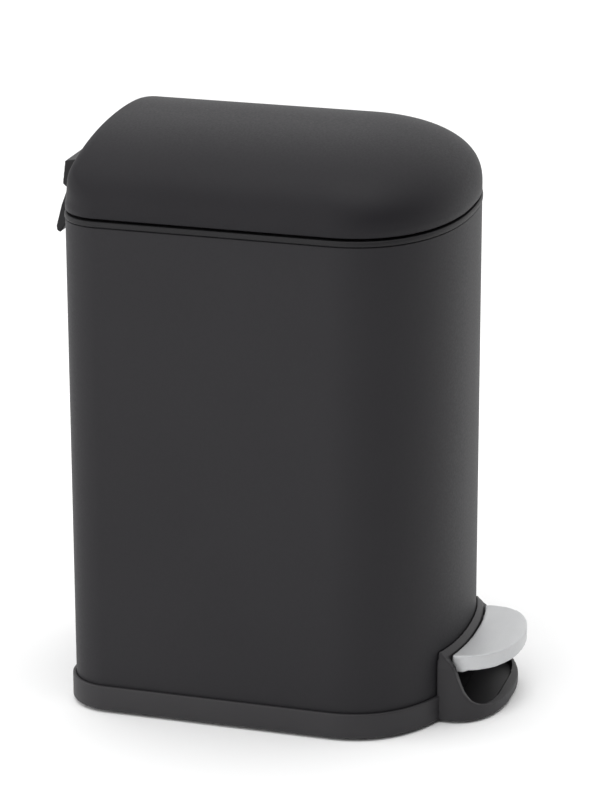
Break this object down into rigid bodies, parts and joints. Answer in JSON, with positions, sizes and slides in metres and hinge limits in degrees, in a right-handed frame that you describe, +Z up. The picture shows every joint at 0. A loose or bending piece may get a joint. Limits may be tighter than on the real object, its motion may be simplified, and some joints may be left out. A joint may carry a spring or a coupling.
{
  "type": "pedal trash can",
  "caption": "Slim step-on bin: steel shell with bowed front, domed lid hinged at the back, foot pedal, push rod and lift-out bucket.",
  "frame": {"origin": "on the floor, at the middle of the overall width and of the overall depth from pedal tip to handle", "axes": "+Z up, -Y towards the pedal (front), +Y towards the hinge (back), +X to the right seen from the front"},
  "size_m": [0.1558, 0.2352, 0.2995],
  "materials": {
    "shell_paint": "fine matte powder coat, charcoal",
    "lid_paint": "fine matte powder coat, charcoal",
    "black_plastic": "moulded, fine spark texture",
    "grey_plastic": "moulded, satin",
    "bucket_plastic": "moulded, satin",
    "silver_plastic": "satin silver grey",
    "black_steel": "black, satin",
    "steel": "zinc plated",
    "rubber": "matte"
  },
  "bodies": {
    "body": {"outer_shell": "shell_paint", "top_rim": "grey_plastic", "base": "black_plastic", "bottom_cover": "black_plastic", "foot_1": "rubber", "foot_2": "rubber", "foot_3": "rubber", "foot_4": "rubber", "cover_screw_1": "steel", "cover_screw_2": "steel", "cover_screw_3": "steel", "cover_screw_4": "steel", "inner_floor": "black_plastic", "rear_handle": "grey_plastic", "handle_screw_1": "steel", "handle_screw_2": "steel", "hinge_pin": "steel", "rod_guide_1": "black_plastic", "rod_guide_2": "black_plastic", "pedal_axle": "steel", "axle_clip_1": "steel", "axle_clip_2": "steel"},
    "lid": {"lid_shell": "lid_paint", "lid_liner": "black_plastic", "lid_hinge_block": "grey_plastic", "lid_screw_1": "steel", "lid_screw_2": "steel", "lid_lever": "black_steel", "lever_screw_1": "steel", "lever_screw_2": "steel", "lid_bumper_1": "rubber", "lid_bumper_2": "rubber"},
    "pedal": {"pedal_pad": "silver_plastic", "pedal_lever": "black_steel", "pedal_screw_1": "steel", "pedal_screw_2": "steel"},
    "rod": {"push_rod": "steel"},
    "bucket": {"inner_bucket": "bucket_plastic"},
    "bail": {"bucket_bail": "steel", "bail_grip": "black_plastic"}
  },
  "joints": [
    {"name": "lid_hinge", "type": "hinge", "parent": "body", "child": "lid", "pos_m": [0, 0.10965, 0.263], "axis": [-1, 0, 0], "range_deg": [0, 70]},
    {"name": "pedal_press", "type": "hinge", "parent": "body", "child": "pedal", "pos_m": [0, -0.02765, 0.0205], "axis": [1, 0, 0], "range_deg": [0, 12.01]},
    {"name": "rod_rise", "type": "slide", "parent": "body", "child": "rod", "axis": [0, 0, 1], "range_m": [0, 0.0251]},
    {"name": "bucket_lift", "type": "slide", "parent": "body", "child": "bucket", "axis": [0, 0, 1], "range_m": [0, 0.005]},
    {"name": "bail_swing", "type": "hinge", "parent": "bucket", "child": "bail", "pos_m": [0, -0.00585, 0.2515], "axis": [-1, 0, 0], "range_deg": [0, 25]}
  ],
  "couplings": [
    {"joint": "pedal_press", "follows": "lid_hinge", "ratio": 0.17143},
    {"joint": "rod_rise", "follows": "lid_hinge", "m_per_rad": 0.020535}
  ]
}
